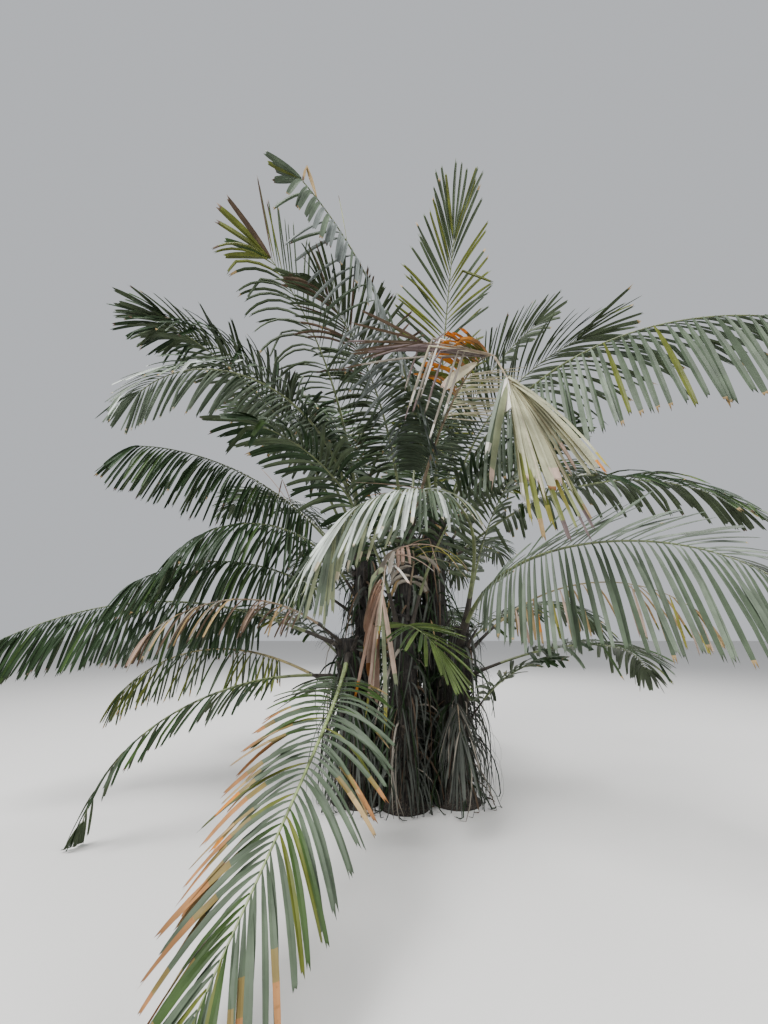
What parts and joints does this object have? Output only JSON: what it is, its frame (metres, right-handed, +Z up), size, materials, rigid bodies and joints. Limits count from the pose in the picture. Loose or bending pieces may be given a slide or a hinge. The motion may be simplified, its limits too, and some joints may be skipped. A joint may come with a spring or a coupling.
{
  "type": "formosa palm",
  "caption": "Clumping feather palm: dark fibrous stems from one root, and a wide crown of long arching fronds with glossy leaflets, some silvery, tan or dead.",
  "frame": {"origin": "centre of the flat cut under the middle stem, at ground level", "axes": "+Z up the middle stem, -Y towards the side that the picture shows, +X to that view's right"},
  "size_m": [6.4059, 5.7358, 5.1501],
  "materials": {
    "stem": "matt black-brown fibre",
    "frond_green": "leathery, semi-gloss dark green above, silvery beneath",
    "frond_silver": "leathery with a silvery sheen",
    "frond_young": "fresh yellow-green, semi-gloss",
    "frond_tan": "ageing olive and tan, matt",
    "frond_dead": "dry tan and pinkish brown, matt"
  },
  "bodies": {
    "root": {"stem_middle": "stem", "stem_right": "stem", "stem_left": "stem", "stem_front_right": "stem", "stem_front": "stem", "stem_front_left": "stem", "stem_back": "stem", "frond_tall_left": "frond_green", "frond_upper_mid": "frond_green", "frond_upper_right": "frond_green", "frond_right_high": "frond_green", "frond_dark_mid": "frond_green", "frond_upper_left": "frond_green", "frond_left_up": "frond_green", "frond_left_mid": "frond_green", "frond_right_long": "frond_green", "frond_right_fan": "frond_green", "frond_right_thin": "frond_green", "frond_foot_right": "frond_green", "frond_big_low": "frond_green", "frond_left_low": "frond_green", "frond_low_left": "frond_green", "frond_left_dark": "frond_green", "frond_left_inner": "frond_green", "frond_centre_left": "frond_green", "frond_centre_right": "frond_green", "frond_low_right": "frond_green", "frond_low_back_right": "frond_green", "frond_low_back": "frond_green", "frond_low_back_left": "frond_green", "frond_middle_1": "frond_green", "frond_middle_2": "frond_green", "frond_middle_3": "frond_green", "frond_middle_4": "frond_green", "frond_right_1": "frond_green", "frond_right_2": "frond_green", "frond_right_3": "frond_green", "frond_right_4": "frond_green", "frond_left_1": "frond_green", "frond_left_2": "frond_green", "frond_left_3": "frond_green", "frond_left_4": "frond_green", "frond_back_1": "frond_green", "frond_back_2": "frond_green", "frond_back_3": "frond_green", "frond_back_4": "frond_green", "frond_back_5": "frond_green", "frond_left_silver": "frond_silver", "frond_silver_front": "frond_silver", "frond_silver_front_tip": "frond_silver", "frond_young_green": "frond_young", "frond_right_tan": "frond_tan", "frond_left_olive": "frond_tan", "frond_broken_top": "frond_dead", "frond_foot_dead": "frond_dead", "frond_pink_front": "frond_dead", "frond_dead_left": "frond_dead", "frond_dead_fan_top": "frond_dead", "frond_dead_fan_front": "frond_dead", "frond_dead_spray": "frond_dead"}
  },
  "joints": []
}
